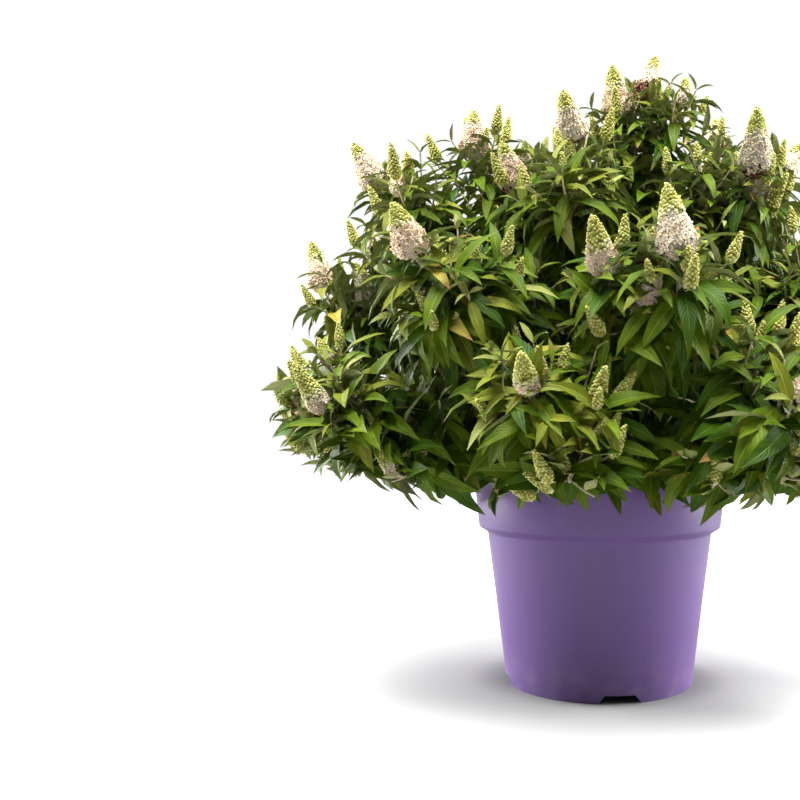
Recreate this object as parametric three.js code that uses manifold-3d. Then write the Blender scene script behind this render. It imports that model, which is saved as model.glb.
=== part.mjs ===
// Potted butterfly bush: one dwarf flowering shrub in a five-litre nursery pot.
// Millimetres, +Z up, -Y is the front. The origin is the middle of the pot's foot on the ground.
import * as THREE from 'three';
import { mergeVertices } from 'three/addons/utils/BufferGeometryUtils.js';
import Module from 'manifold-3d';

const { degToRad, lerp, seededRandom } = THREE.MathUtils;
const wasm = await Module();
wasm.setup();

const clearance = 0.3; // air between one piece and the next
const sameCorner = 1e-4; // shared corners of a closed geometry differ by less than this
const closeCorner = 1e-3; // a join must not leave two corners this close
const seed = 7; // every mass grows from this number and its own place in the list

// Pot: a thin wall with a wider band at the rim, standing on a flat middle and a notched skirt.
const potHeight = 185;
const rimRadius = 114.8;
const rimFootRadius = 110.7;
const rimFootHeight = 141.9;
const bodyTopRadius = 102.7;
const bodyTopHeight = 136.8;
const footRadius = 85.2;
const wall = 2.1;
const floorThickness = 2;
const floorLift = 8; // the ring between the flat middle and the skirt stands this high
const middleRadius = 44;
const rampWidth = 4;
const skirtThickness = 2.5;
const potSides = 28;
const notchCount = 4;
const notchAngle = -77.6; // the notch that shows beside the front
const notchHeight = 7;
const notchTopWidth = 26;
const notchBottomWidth = 37;
const drainCount = 4;
const drainRadius = 5.5;
const drainCircle = 66;
const drainSides = 6;

// Compost: fills the pot to 25 mm below the rim, flat round the stem.
const compostTop = 160;
const compostEdgeTop = 157;
const compostFlatRadius = 24;

// Main stem: short, a little leaning, flared where it leaves the compost.
const stemForkHeight = 206;
const stemLean = 4;
const stemFlareRadius = 17;
const stemFootRadius = 10.5;
const stemTopRadius = 8.5;
const flareLength = 12;
const stemSides = 8;
const stemSteps = 4;

// Boughs leave the main stem for tips round the crown's centre; branches run on to the masses.
const upward = new THREE.Vector3(0, 0, 1);
const crownCentre = new THREE.Vector3(0, 0, 240);
const sideBoughCount = 5;
const firstBoughAzimuth = -108;
const sideBoughSpan = 50; // from the crown's centre to a side bough's tip
const topBoughSpan = 44;
const boughFootRadius = 5.6;
const boughTipRadius = 4.2;
const branchFootRadius = 3.6;
const branchTipRadius = 2.8;
const limbSides = 5;
const branchSides = 4;
const limbSteps = 3;
const branchSteps = 2;
const limbZone = 104; // branches end and the masses start this far from the crown's centre

// Tiers of masses: azimuth, elevation and reach of each mass's leading flower head, as they are
// seen from the crown's centre. Azimuth 0 is the plant's right, -90 its front.
const tiers = [
  { name: 'top', sideShoots: 3, leaders: [[0, 81, 340]] },
  {
    name: 'upper',
    sideShoots: 2,
    leaders: [
      [-102, 62, 288], [-52, 50, 298], [-6, 53, 306], [38, 64, 344],
      [95, 54, 316], [160, 65, 334], [-163, 47, 330],
    ],
  },
  {
    name: 'middle',
    sideShoots: 3,
    leaders: [
      [-80, 30, 290], [-36, 27, 302], [8, 28, 316], [50, 31, 304],
      [93, 27, 300], [134, 31, 304], [176, 32, 332], [-123, 29, 300],
    ],
  },
  {
    name: 'lower',
    sideShoots: 3,
    leaders: [
      [-100, 7, 280], [-60, 7, 290], [-19, 6, 304], [21, 8, 302], [61, 7, 292],
      [101, 7, 286], [141, 8, 294], [-178, 8, 308], [-139, 7, 298],
    ],
  },
];

// Each mass: one leading shoot, side shoots round it, a flower head on each, leaves in pairs.
const cellGap = 1.2; // each mass keeps this far inside the planes halfway to its neighbours
const headPlaces = 40; // places in the cell that a side shoot's head is tried in
const widestSpread = 24; // degrees between such a place and the leading head
const least = 0.82; // a side head reaches this share of the leading one's reach, or more
const most = 0.94;
const wallWeight = 1.6; // a wall this many times nearer counts like another head
const lowestShootRise = -0.1; // no shoot heads further down than this slope
const goldenAngle = 137.508;
const leaderRadius = 2.8;
const shootRadius = 1.8;
const shootTipRadius = 1.6;
const shootSides = 4;
const shootSteps = 2;
const shootBend = 0.36;
const firstFork = 0.14; // side shoots leave the leading one from here up
const forkSpacing = 0.17;
const forkLean = 0.2; // how much a side shoot first follows the leading one
const largeHead = { length: 54, radius: 11 };
const smallHead = { length: 36, radius: 7 };
const headWidest = 0.26;
const headOutward = 0.6;
const headUpward = 0.75;
const pairSpacing = 18;
const leavesPerMass = 21;
const longestLeaf = 100;
const shortestLeaf = 74;
// A leaf that has no room is tried smaller, and leaning on along its shoot or back down it.
const leafTries = [[1, 0.35], [0.9, -0.5], [0.85, 1], [0.7, 0.2], [0.7, -0.9], [0.6, 1.2]];
const leafWidthRatio = 0.32;
const leafThickness = 1.4;
const leafWidest = 0.42;
const leafArch = 0.1;
const leafSink = 1.2; // a leaf's root lies this many shoot radii inside the shoot's face
const bladeStart = 2.2; // times its sunk root: where a leaf is surely outside its shoot
const leastDroop = 0.3;
const droopRange = 0.6;
const droopPerPair = 0.12; // the leaves hang lower down each shoot
const lowestLeaf = 138; // tips of the skirt hang to here beside the pot's rim
const skirtRise = 0.38; // and end this much higher for each millimetre further out
const rimClearRadius = 118.5;
const rimClearHeight = 189;

// ---- small tools ------------------------------------------------------------------------------

function direction(azimuth, elevation) {
  const flat = Math.cos(degToRad(elevation));
  return new THREE.Vector3(
    flat * Math.cos(degToRad(azimuth)),
    flat * Math.sin(degToRad(azimuth)),
    Math.sin(degToRad(elevation)),
  );
}

function fromCentre(unit, distance) {
  return crownCentre.clone().addScaledVector(unit, distance);
}

// The faces of a closed geometry once its shared corners are merged. Collapsed faces are dropped.
function mergedFaces(geometry, step) {
  const bare = new THREE.BufferGeometry().setAttribute('position', geometry.attributes.position);
  const merged = mergeVertices(bare.setIndex(geometry.index), step);
  const faces = [];
  const index = merged.index.array;
  for (let i = 0; i < index.length; i += 3) {
    const [a, b, c] = [index[i], index[i + 1], index[i + 2]];
    if (a !== b && b !== c && c !== a) faces.push([a, b, c]);
  }
  return { merged, faces };
}

function solidOf(geometry) {
  const { merged, faces } = mergedFaces(geometry, sameCorner);
  return new wasm.Manifold(new wasm.Mesh({
    numProp: 3,
    vertProperties: merged.attributes.position.array,
    triVerts: Uint32Array.from(faces.flat()),
  }));
}

function geometryOf(solid) {
  const { vertProperties, triVerts } = solid.getMesh();
  const geometry = new THREE.BufferGeometry();
  geometry.setAttribute('position', new THREE.BufferAttribute(vertProperties, 3));
  geometry.setIndex(new THREE.BufferAttribute(triVerts, 1));
  return geometry;
}

// The one body that is kept after a cut or a join: loose scraps and sealed hollows are dropped.
function mainBody(solid) {
  return solid.decompose().reduce((best, body) => (body.volume() > best.volume() ? body : best));
}

// Whether a solid stays closed when corners that lie very close together become one: each edge
// must still be shared by just two faces, which run along it in opposite ways.
function staysClosed(solid) {
  const { faces } = mergedFaces(geometryOf(solid), closeCorner);
  const edges = faces.flatMap(([a, b, c]) => [`${a} ${b}`, `${b} ${c}`, `${c} ${a}`]);
  const distinct = new Set(edges);
  return distinct.size === edges.length
    && edges.every((edge) => distinct.has(edge.split(' ').reverse().join(' ')));
}

function meshOf(name, solid, material) {
  const geometry = geometryOf(solid);
  geometry.computeVertexNormals();
  const mesh = new THREE.Mesh(geometry, material);
  mesh.name = name;
  return mesh;
}

// A profile of [radius, height] pairs turned round the Z axis.
function turned(profile, sides) {
  const points = profile.map(([radius, height]) => new THREE.Vector2(radius, height));
  return new THREE.LatheGeometry(points, sides).rotateX(Math.PI / 2);
}

// Two directions across a limb's axis, turned about it by as little as its own reference allows.
function crossing(tangent, reference) {
  const sideways = new THREE.Vector3().crossVectors(reference, tangent).normalize();
  const other = new THREE.Vector3().crossVectors(sideways, tangent);
  return { sideways, other };
}

// What a limb's sections are squared up to: the upright, or the X axis for a steep limb.
function referenceFor(from, to) {
  const chord = to.clone().sub(from).normalize();
  return Math.abs(chord.z) > 0.7 ? new THREE.Vector3(1, 0, 0) : upward;
}

// Evenly spaced rings along a curve, each with its centre, its direction and its radius.
function ringsAlong(curve, radiusAt, steps) {
  return Array.from({ length: steps + 1 }, (_, k) => ({
    centre: curve.getPoint(k / steps),
    tangent: curve.getTangent(k / steps),
    radius: radiusAt(k / steps),
  }));
}

// A closed tapering limb: a cylinder whose rings are set at the given places.
function limbGeometry(rings, sides) {
  const last = rings.length - 1;
  const geometry = new THREE.CylinderGeometry(1, 1, 1, sides, last);
  const position = geometry.attributes.position;
  const reference = referenceFor(rings[0].centre, rings[last].centre);
  for (let i = 0; i < position.count; i += 1) {
    const { centre, tangent, radius } = rings[Math.round((position.getY(i) + 0.5) * last)];
    const { sideways, other } = crossing(tangent, reference);
    const place = centre.clone()
      .addScaledVector(sideways, position.getX(i) * radius)
      .addScaledVector(other, position.getZ(i) * radius);
    position.setXYZ(i, place.x, place.y, place.z);
  }
  return geometry;
}

// ---- pot and compost --------------------------------------------------------------------------

function makePot() {
  const rampRadius = middleRadius + rampWidth;
  const skirtRadius = footRadius - skirtThickness;
  const floorTop = floorLift + floorThickness;
  let pot = solidOf(turned([
    [0, 0],
    [middleRadius, 0],
    [rampRadius, floorLift],
    [skirtRadius, floorLift],
    [skirtRadius, 0],
    [footRadius, 0],
    [bodyTopRadius, bodyTopHeight],
    [rimFootRadius, rimFootHeight],
    [rimRadius, potHeight],
    [rimRadius - wall, potHeight],
    [rimFootRadius - wall, rimFootHeight + wall],
    [bodyTopRadius - wall, bodyTopHeight + wall],
    [footRadius - wall, floorTop],
    [rampRadius + floorThickness, floorTop],
    [middleRadius + floorThickness, floorThickness],
    [0, floorThickness],
  ], potSides));
  for (let k = 0; k < notchCount; k += 1) {
    pot = pot.subtract(notchCutter(notchAngle + (k * 360) / notchCount));
  }
  for (let k = 0; k < drainCount; k += 1) {
    pot = pot.subtract(drainCutter(((k + 0.5) * 360) / drainCount));
  }
  return pot;
}

// A slot through the skirt, wider at the ground than at its top.
function notchCutter(azimuth) {
  const reach = 2 * skirtThickness;
  const below = notchHeight / 2;
  const flare = ((notchBottomWidth - notchTopWidth) / 2) * (below / notchHeight);
  const outline = new THREE.Shape([
    new THREE.Vector2(-notchBottomWidth / 2 - flare, -below),
    new THREE.Vector2(notchBottomWidth / 2 + flare, -below),
    new THREE.Vector2(notchTopWidth / 2, notchHeight),
    new THREE.Vector2(-notchTopWidth / 2, notchHeight),
  ]);
  const geometry = new THREE.ExtrudeGeometry(outline, { depth: 2 * reach, bevelEnabled: false });
  geometry.rotateX(Math.PI / 2);
  geometry.translate(0, reach - footRadius, 0);
  geometry.rotateZ(degToRad(azimuth + 90));
  return solidOf(geometry);
}

function drainCutter(azimuth) {
  const geometry = new THREE.CylinderGeometry(
    drainRadius, drainRadius, 2 * floorThickness, drainSides,
  );
  geometry.rotateX(Math.PI / 2);
  geometry.translate(drainCircle, 0, floorLift + floorThickness / 2);
  geometry.rotateZ(degToRad(azimuth));
  return solidOf(geometry);
}

// The compost follows the pot's inner faces at a small clearance.
function makeCompost() {
  const inner = wall + clearance;
  const floorTop = floorLift + floorThickness + clearance;
  const rimSlope = (rimRadius - rimFootRadius) / (potHeight - rimFootHeight);
  const edgeRadius = rimFootRadius - inner + rimSlope * (compostEdgeTop - rimFootHeight - wall);
  return solidOf(turned([
    [0, floorThickness + clearance],
    [middleRadius + floorThickness - clearance, floorThickness + clearance],
    [middleRadius + rampWidth + floorThickness - clearance, floorTop],
    [footRadius - inner, floorTop],
    [bodyTopRadius - inner, bodyTopHeight + wall],
    [rimFootRadius - inner, rimFootHeight + wall + clearance],
    [edgeRadius, compostEdgeTop],
    [compostFlatRadius, compostTop],
    [0, compostTop],
  ], potSides));
}

// ---- stem, boughs and branches ----------------------------------------------------------------

// A limb's solid and the slightly fatter one that its neighbours are cut back from.
function makeLimb(curve, radiusAt, sides, steps) {
  const fatter = (t) => radiusAt(t) + clearance;
  return {
    curve,
    solid: solidOf(limbGeometry(ringsAlong(curve, radiusAt, steps), sides)),
    keepOut: solidOf(limbGeometry(ringsAlong(curve, fatter, steps), sides)),
  };
}

function taper(fromRadius, toRadius) {
  return (t) => lerp(fromRadius, toRadius, t);
}

const stemFoot = new THREE.Vector3(0, 0, compostTop + clearance);
const stemFork = new THREE.Vector3(stemLean, stemLean / 2, stemForkHeight);

function makeMainStem() {
  const middle = new THREE.Vector3(0, 0, lerp(stemFoot.z, stemFork.z, 0.5));
  const curve = new THREE.QuadraticBezierCurve3(stemFoot, middle, stemFork);
  const height = stemFork.z - stemFoot.z;
  const flare = (t) => (stemFlareRadius - stemFootRadius) * Math.exp((-t * height) / flareLength);
  const radiusAt = (t) => taper(stemFootRadius, stemTopRadius)(t) + flare(t);
  return makeLimb(curve, radiusAt, stemSides, stemSteps);
}

// Side boughs spread round the main stem, and one more runs up the middle.
function boughPlans() {
  const plans = [{ name: 'bough_top', unit: direction(0, 88), span: topBoughSpan }];
  for (let k = 0; k < sideBoughCount; k += 1) {
    const azimuth = firstBoughAzimuth + (k * 360) / sideBoughCount;
    plans.push({ name: `bough_${k + 1}`, unit: direction(azimuth, 0), span: sideBoughSpan });
  }
  return plans;
}

function makeBough(plan) {
  const tip = fromCentre(plan.unit, plan.span);
  const start = stemFork.clone();
  start.z -= boughFootRadius;
  const bend = start.clone().lerp(tip, 0.5);
  bend.z += plan.span * 0.1 * (1 - plan.unit.z);
  const curve = new THREE.QuadraticBezierCurve3(start, bend, tip);
  return makeLimb(curve, taper(boughFootRadius, boughTipRadius), limbSides, limbSteps);
}

// A branch leaves its bough's tip and arrives at the limb zone's edge pointing straight out.
function makeBranch(bough, mass) {
  const start = bough.curve.getPoint(0.94);
  const tip = fromCentre(mass.unit, limbZone - clearance);
  const bend = fromCentre(mass.unit, limbZone * 0.72);
  const curve = new THREE.QuadraticBezierCurve3(start, bend, tip);
  return makeLimb(curve, taper(branchFootRadius, branchTipRadius), branchSides, branchSteps);
}

// Each limb is cut back from the limbs made before it, so that forks stay separate pieces.
function cutClear(limb, others) {
  const cut = others.reduce((solid, other) => solid.subtract(other.keepOut), limb.solid);
  return mainBody(cut);
}

// ---- masses of foliage ------------------------------------------------------------------------

function massPlans() {
  return tiers.flatMap((tier) => tier.leaders.map(([azimuth, elevation, reach], k) => ({
    name: tier.leaders.length > 1 ? `foliage_${tier.name}_${k + 1}` : `foliage_${tier.name}`,
    unit: direction(azimuth, elevation),
    reach,
    sideShoots: tier.sideShoots,
  })));
}

// Whether a point lies in a mass's own space: its cell between the planes halfway to the other
// masses, outside the limbs, above the skirt's lowest tips and clear of the pot's rim.
function insideSpace(point, mass, masses) {
  const distance = point.distanceTo(crownCentre);
  if (distance < limbZone + cellGap || distance > mass.reach + cellGap) return false;
  const outFromPot = Math.hypot(point.x, point.y) - rimClearRadius;
  if (point.z < lowestLeaf + skirtRise * outFromPot) return false;
  if (point.z < rimClearHeight && outFromPot < 0) return false;
  return wallDistance(point, mass, masses) > cellGap;
}

// How far a point lies inside the nearest wall of a mass's cell.
function wallDistance(point, mass, masses) {
  const offset = point.clone().sub(crownCentre);
  return Math.min(...masses.filter((other) => other !== mass).map((other) => (
    offset.dot(mass.unit.clone().sub(other.unit).normalize())
  )));
}

// A direction turned away from another: spread degrees off it, turn degrees round it.
function tiltedFrom(unit, turn, spread) {
  const side = Math.abs(unit.z) > 0.9 ? new THREE.Vector3(1, 0, 0) : new THREE.Vector3(0, 0, 1);
  const across = new THREE.Vector3().crossVectors(unit, side).normalize();
  return unit.clone()
    .applyAxisAngle(across, degToRad(spread))
    .applyAxisAngle(unit, degToRad(turn));
}

// One leading shoot, then side shoots, each with its head in the roomiest place left in the cell.
function planShoots(mass, massNumber, masses) {
  seededRandom(seed * 100 + massNumber);
  const root = fromCentre(mass.unit, limbZone + clearance);
  const leader = planShoot(root, mass.unit, mass.unit, mass.reach, largeHead, leaderRadius);
  const shoots = [leader];
  const firstTurn = 360 * seededRandom();
  const places = Array.from({ length: headPlaces }, (_, k) => {
    const spread = widestSpread * Math.sqrt((k + 0.5) / headPlaces);
    const unit = tiltedFrom(mass.unit, firstTurn + k * goldenAngle, spread);
    unit.z = Math.max(unit.z, lowestShootRise);
    return fromCentre(unit.normalize(), mass.reach * lerp(least, most, seededRandom()));
  });
  while (shoots.length <= mass.sideShoots) {
    const tip = roomiest(places, shoots, mass, masses);
    const along = firstFork + forkSpacing * shoots.length;
    const start = placeOn(leader, along);
    const growth = tip.clone().sub(start).normalize()
      .addScaledVector(leader.curve.getTangent(along), forkLean)
      .normalize();
    const unit = tip.clone().sub(crownCentre);
    const reach = unit.length();
    const head = shoots.length % 2 ? smallHead : largeHead;
    shoots.push(planShoot(start, growth, unit.normalize(), reach, head, shootRadius));
  }
  return shoots;
}

// Of some places, the one furthest from the heads there are and from the cell's walls.
function roomiest(places, shoots, mass, masses) {
  const room = (place) => Math.min(
    ...shoots.map((shoot) => shoot.tip.distanceTo(place)),
    wallWeight * wallDistance(place, mass, masses),
  );
  return places.reduce((best, place) => (room(place) > room(best) ? place : best));
}

// A shoot with its flower head: the last rings widen into the head's narrow cone of florets.
// The head's axis leans between straight out and straight up.
function planShoot(start, growth, unit, reach, head, radius) {
  const axis = unit.clone().multiplyScalar(headOutward).addScaledVector(upward, headUpward);
  axis.normalize();
  const tip = fromCentre(unit, reach);
  const base = tip.clone().addScaledVector(axis, -head.length);
  const pull = base.distanceTo(start) * shootBend;
  const curve = new THREE.CubicBezierCurve3(
    start,
    start.clone().addScaledVector(growth, pull),
    base.clone().addScaledVector(axis, -pull),
    base,
  );
  const widest = base.clone().lerp(tip, headWidest);
  const rings = [
    ...ringsAlong(curve, taper(radius, shootTipRadius), shootSteps),
    { centre: widest, tangent: axis, radius: head.radius },
    { centre: tip, tangent: axis, radius: 0 },
  ];
  return { curve, rings, axis, base, tip, radius };
}

function makeShoot({ rings }) {
  return solidOf(limbGeometry(rings, shootSides));
}

// A place on a shoot's axis, which runs straight from ring to ring.
function placeOn({ rings }, t) {
  const ring = Math.min(Math.floor(t * shootSteps), shootSteps - 1);
  return rings[ring].centre.clone().lerp(rings[ring + 1].centre, t * shootSteps - ring);
}

// Leaf pairs down each shoot, each pair turned a quarter from the last, the lowest the longest.
// Each entry holds the leaf at its full length and the shorter ones that may take its place.
function planLeaves(shoots) {
  const levels = Math.max(...shoots.map(pairCount));
  const choices = [];
  for (let level = 0; level < levels; level += 1) {
    shoots.filter((shoot) => level < pairCount(shoot)).forEach((shoot) => {
      const t = 1 - (level + 0.5) / pairCount(shoot);
      const length = lerp(shortestLeaf, longestLeaf, Math.min(1, level / 3));
      [0, 180].forEach((half) => {
        const turn = 45 + 90 * level + half;
        const droop = leastDroop + droopRange * seededRandom() + droopPerPair * level;
        choices.push(leafTries.map(([size, lean]) => (
          planLeaf(shoot, t, turn, droop, lean, length * size)
        )));
      });
    });
  }
  return choices;
}

function pairCount(shoot) {
  return Math.round(shoot.curve.getLength() / pairSpacing);
}

// A leaf leaves one face of its four-sided shoot, leans along the shoot and droops.
function planLeaf(shoot, t, turn, droop, lean, length) {
  const tangent = shoot.curve.getTangent(t);
  const reference = referenceFor(shoot.rings[0].centre, shoot.tip);
  const { sideways, other } = crossing(tangent, reference);
  const outward = sideways.multiplyScalar(Math.sin(degToRad(turn)))
    .addScaledVector(other, Math.cos(degToRad(turn)));
  const along = outward.clone()
    .addScaledVector(tangent, lean)
    .addScaledVector(upward, -droop)
    .normalize();
  const up = tangent.clone().addScaledVector(along, -tangent.dot(along)).normalize();
  const radius = lerp(shoot.radius, shootTipRadius, t);
  const face = placeOn(shoot, t).addScaledVector(outward, radius * Math.SQRT1_2);
  const root = radius * leafSink;
  const base = face.addScaledVector(along, -root);
  return { base, along, up, length, root };
}

function leafFits(leaf, mass, masses) {
  const at = leafPoints(leaf);
  const arch = leaf.length * leafArch;
  const corners = [at(1, 0, 0), at(leafWidest, 1, arch), at(leafWidest, -1, arch), at(0.7, 0, arch)];
  return corners.every((corner) => insideSpace(corner, mass, masses));
}

// Whether a leaf's blade, from just outside its shoot to its tip, crosses nothing made so far.
function bladeIsFree(leaf, joined) {
  const blade = makeLeaf({
    ...leaf,
    base: leaf.base.clone().addScaledVector(leaf.along, leaf.root * bladeStart),
    length: leaf.length - leaf.root * bladeStart,
  });
  return joined.intersect(blade).isEmpty();
}

// Where a place on a leaf lies: forward along its rib, sideways in half widths, and lifted.
function leafPoints(leaf) {
  const across = new THREE.Vector3().crossVectors(leaf.along, leaf.up).normalize();
  const lift = new THREE.Vector3().crossVectors(across, leaf.along);
  return (forward, side, height) => leaf.base.clone()
    .addScaledVector(leaf.along, forward * leaf.length)
    .addScaledVector(across, side * leaf.length * leafWidthRatio * 0.5)
    .addScaledVector(lift, height);
}

// A leaf: two three-sided pyramids end to end, flat above, keeled along the rib below and arched.
function makeLeaf(leaf) {
  const geometry = new THREE.SphereGeometry(1, 3, 2);
  const position = geometry.attributes.position;
  const ringHalfWidth = Math.sqrt(0.75);
  const at = leafPoints(leaf);
  for (let i = 0; i < position.count; i += 1) {
    const [x, y, z] = [position.getX(i), position.getY(i), position.getZ(i)];
    const middle = 1 - Math.abs(y);
    const forward = (y + 1) / 2 + middle * (leafWidest - 0.5);
    const keel = middle * Math.min(0, x) * leafThickness;
    const place = at(forward, -z / ringHalfWidth, middle * leaf.length * leafArch + keel);
    position.setXYZ(i, place.x, place.y, place.z);
  }
  return solidOf(geometry);
}

// The shoots are joined first. Then each leaf that has room is joined to them.
function makeMass(mass, massNumber, masses) {
  const shoots = planShoots(mass, massNumber, masses);
  let joined = shoots.map(makeShoot).reduce((solid, shoot) => solid.add(shoot));
  let count = 0;
  planLeaves(shoots).forEach((choices) => {
    const leaf = choices.find((choice) => leafFits(choice, mass, masses)
      && bladeIsFree(choice, joined));
    if (!leaf || count === leavesPerMass) return;
    const grown = joined.add(makeLeaf(leaf));
    if (!staysClosed(grown)) return;
    joined = grown;
    count += 1;
  });
  return mainBody(joined);
}

// ---- the whole plant --------------------------------------------------------------------------

const materials = {
  pot: new THREE.MeshStandardMaterial({ color: 0x7d64a0, roughness: 0.45, metalness: 0 }),
  compost: new THREE.MeshStandardMaterial({ color: 0x3b2b20, roughness: 1, metalness: 0 }),
  bark: new THREE.MeshStandardMaterial({ color: 0x8d7a5e, roughness: 0.9, metalness: 0 }),
  foliage: new THREE.MeshStandardMaterial({ color: 0x4f6b33, roughness: 0.7, metalness: 0 }),
};

function makePlant() {
  const masses = massPlans();
  const boughs = boughPlans().map((plan) => ({ plan, ...makeBough(plan) }));
  const mainStem = makeMainStem();
  const limbs = [mainStem];
  const named = [['main_stem', mainStem.solid, materials.bark]];
  boughs.forEach((bough) => {
    named.push([bough.plan.name, cutClear(bough, limbs), materials.bark]);
    limbs.push(bough);
  });
  masses.forEach((mass) => {
    const bough = boughs.reduce((best, other) => (
      other.plan.unit.dot(mass.unit) > best.plan.unit.dot(mass.unit) ? other : best
    ));
    const branch = makeBranch(bough, mass);
    named.push([mass.name.replace('foliage', 'branch'), cutClear(branch, limbs), materials.bark]);
    limbs.push(branch);
  });
  masses.forEach((mass, k) => {
    named.push([mass.name, makeMass(mass, k, masses), materials.foliage]);
  });
  return named;
}

const plant = new THREE.Group();
plant.add(meshOf('pot', makePot(), materials.pot));
plant.add(meshOf('compost', makeCompost(), materials.compost));
makePlant().forEach(([name, solid, material]) => plant.add(meshOf(name, solid, material)));

export default plant;
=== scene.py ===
import math

import bmesh
import bpy
import numpy as np
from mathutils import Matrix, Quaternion, Vector, noise


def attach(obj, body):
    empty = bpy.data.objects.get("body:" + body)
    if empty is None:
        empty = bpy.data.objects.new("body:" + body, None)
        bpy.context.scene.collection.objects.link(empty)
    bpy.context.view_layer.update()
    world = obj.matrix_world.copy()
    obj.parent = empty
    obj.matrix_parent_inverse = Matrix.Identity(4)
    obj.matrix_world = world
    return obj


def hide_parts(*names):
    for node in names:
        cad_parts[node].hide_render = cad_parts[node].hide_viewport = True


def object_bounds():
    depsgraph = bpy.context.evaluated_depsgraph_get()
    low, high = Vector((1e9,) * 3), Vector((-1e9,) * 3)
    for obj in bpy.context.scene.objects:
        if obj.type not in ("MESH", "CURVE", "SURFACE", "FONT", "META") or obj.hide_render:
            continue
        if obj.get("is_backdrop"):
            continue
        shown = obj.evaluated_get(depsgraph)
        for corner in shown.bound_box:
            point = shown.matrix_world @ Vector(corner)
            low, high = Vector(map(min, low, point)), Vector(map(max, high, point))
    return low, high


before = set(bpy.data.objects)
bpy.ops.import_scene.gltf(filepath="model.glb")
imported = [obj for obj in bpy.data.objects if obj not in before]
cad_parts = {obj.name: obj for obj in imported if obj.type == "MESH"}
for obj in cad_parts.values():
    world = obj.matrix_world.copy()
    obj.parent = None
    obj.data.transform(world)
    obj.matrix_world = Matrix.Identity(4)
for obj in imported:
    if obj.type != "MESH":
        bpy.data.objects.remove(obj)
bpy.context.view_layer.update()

# ---- pot ----
# A five-litre nursery pot, moulded in one piece from satin lilac polypropylene. A thin wall widens
# to a band at the rim. It stands on a flat middle and a notched skirt, with drain holes between.

mm = 0.001  # sizes are written in millimetres, and meshes are made in metres
pot_height = 185
rim_radius = 114.8
rim_foot_radius = 110.7
rim_foot_height = 141.9
body_top_radius = 102.7
body_top_height = 136.8
foot_radius = 85.2
wall = 2.1
floor_thickness = 2
floor_lift = 8
middle_radius = 44
ramp_width = 4
skirt_thickness = 2.5
pot_sides = 112
notch_count = 4
notch_angle = -77.6
notch_height = 7
notch_top_width = 26
notch_bottom_width = 37
drain_count = 4
drain_radius = 5.5
drain_circle = 66


class Wire:
    """An output in a finish's node tree. Arithmetic on it adds Math nodes."""

    def __init__(self, material, socket):
        self.material = material
        self.socket = socket

    def node(self, kind, settings=(), sockets=(), output=0):
        """Adds a node with its settings, and then the values or wires of its sockets."""
        made = self.material.node_tree.nodes.new(kind)
        for name, value in dict(settings).items():
            setattr(made, name, value)
        for name, value in dict(sockets).items():
            if isinstance(value, Wire):
                self.material.node_tree.links.new(value.socket, made.inputs[name])
            else:
                made.inputs[name].default_value = value
        return Wire(self.material, made.outputs[output])

    def math(self, operation, *others):
        """A Math node on this wire and any others."""
        return self.node("ShaderNodeMath", {"operation": operation}, dict(enumerate((self, *others))))

    def __add__(self, other):
        return self.math("ADD", other)

    def __sub__(self, other):
        return self.math("SUBTRACT", other)

    def __rsub__(self, other):
        return self.math("MULTIPLY_ADD", -1, other)

    def __mul__(self, other):
        return self.math("MULTIPLY", other)

    __radd__ = __add__
    __rmul__ = __mul__

    def rise(self, low, high):
        """0 up to low, 1 from high, and smooth between them."""
        settings = {"interpolation_type": "SMOOTHSTEP"}
        return self.node("ShaderNodeMapRange", settings, {0: self, 1: low, 2: high})

    def mix(self, first, second):
        """The first colour where this wire is 0, and the second where it is 1."""
        return self.node("ShaderNodeMix", {"data_type": "RGBA"}, {0: self, 6: first, 7: second}, 2)

    def stretched(self, x, y, z):
        """Coordinates scaled by a number for each axis."""
        sockets = {0: self, 1: (x, y, z)}
        return self.node("ShaderNodeVectorMath", {"operation": "MULTIPLY"}, sockets)

    def grain(self, scale, detail=2.0):
        """Noise from 0 to 1 at these coordinates, with scale lumps to the metre."""
        return self.node("ShaderNodeTexNoise", {}, {"Vector": self, "Scale": scale, "Detail": detail})

    def axis(self, letter):
        """One number of these coordinates: X, Y or Z."""
        return self.node("ShaderNodeSeparateXYZ", {}, {0: self}, letter)

    def length(self):
        """How far these coordinates are from the middle."""
        return self.node("ShaderNodeVectorMath", {"operation": "LENGTH"}, {0: self}, 1)

    def feed(self, socket):
        """Leads this wire to one of the shader's sockets."""
        tree = self.material.node_tree
        tree.links.new(self.socket, tree.nodes["Principled BSDF"].inputs[socket])

    def feed_relief(self, depth):
        """Uses this wire as a height of up to depth millimetres."""
        self.node("ShaderNodeBump", {}, {"Height": self, "Distance": depth * mm}).feed("Normal")


def start_finish(name, **fixed):
    """A new material with its shader's fixed values, as its wire of Object coordinates."""
    material = bpy.data.materials.new(name)
    material.use_nodes = True
    shader = material.node_tree.nodes["Principled BSDF"]
    for socket, value in fixed.items():
        shader.inputs[socket.replace("_", " ")].default_value = value
    coordinates = material.node_tree.nodes.new("ShaderNodeTexCoord")
    return Wire(material, coordinates.outputs["Object"])


def paint(red, green, blue):
    """A colour given as on a screen, from 0 to 255, as the shader's linear colour."""
    shares = [value / 255 for value in (red, green, blue)]
    return (*[s / 12.92 if s <= 0.04045 else ((s + 0.055) / 1.055) ** 2.4 for s in shares], 1)


def new_object(name, data):
    """A mesh, light or camera as an object in the scene."""
    made = bpy.data.objects.new(name, data)
    bpy.context.scene.collection.objects.link(made)
    return made


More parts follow.
